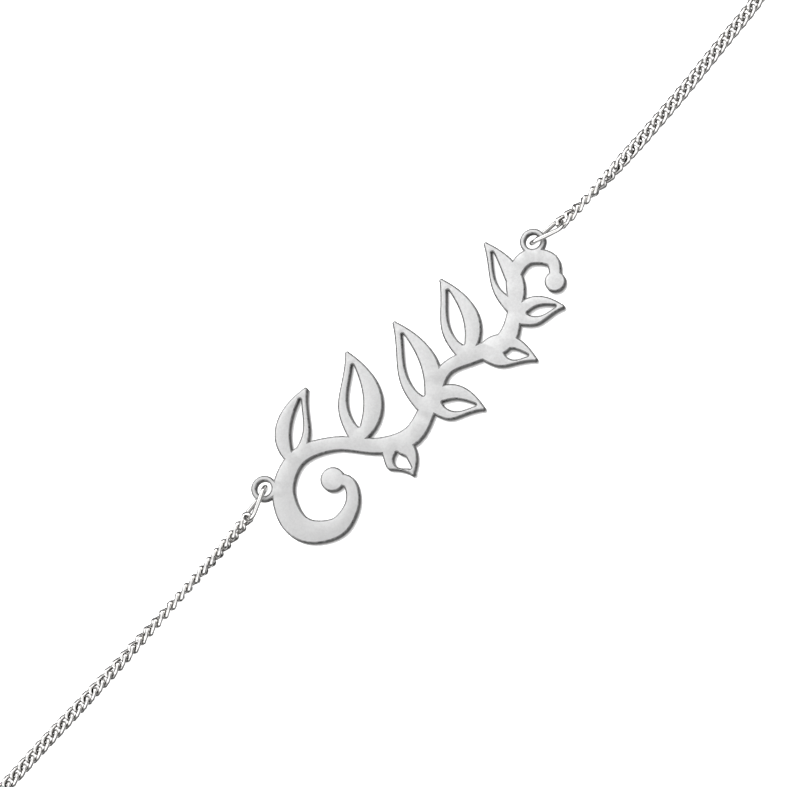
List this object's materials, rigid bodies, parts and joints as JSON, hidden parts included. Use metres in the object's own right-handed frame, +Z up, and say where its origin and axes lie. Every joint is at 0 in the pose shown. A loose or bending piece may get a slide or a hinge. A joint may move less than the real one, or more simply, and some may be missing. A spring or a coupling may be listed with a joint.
{
  "type": "bracelet",
  "caption": "Closed chain bracelet lying flat: a pierced sheet-metal plate cut as a leafy stem, with an eyelet at each end, and a fine chain with a ring clasp.",
  "frame": {"origin": "on the plate's flat back, under the middle of its stem, on the surface that the bracelet lies on", "axes": "+X along the plate toward the right eyelet, +Y from the plate across the wrist hollow to the clasp, +Z up out of the plate's front"},
  "size_m": [0.085, 0.0498, 0.0027],
  "materials": {
    "plate": "satin silver",
    "chain": "polished silver",
    "rings": "polished silver",
    "clasp": "polished silver"
  },
  "bodies": {
    "root": {"nameplate": "plate", "left_connector": "rings", "chain_left": "chain", "clasp_ring": "rings", "clasp": "clasp", "end_ring": "rings", "chain_right": "chain", "right_connector": "rings"}
  },
  "joints": []
}
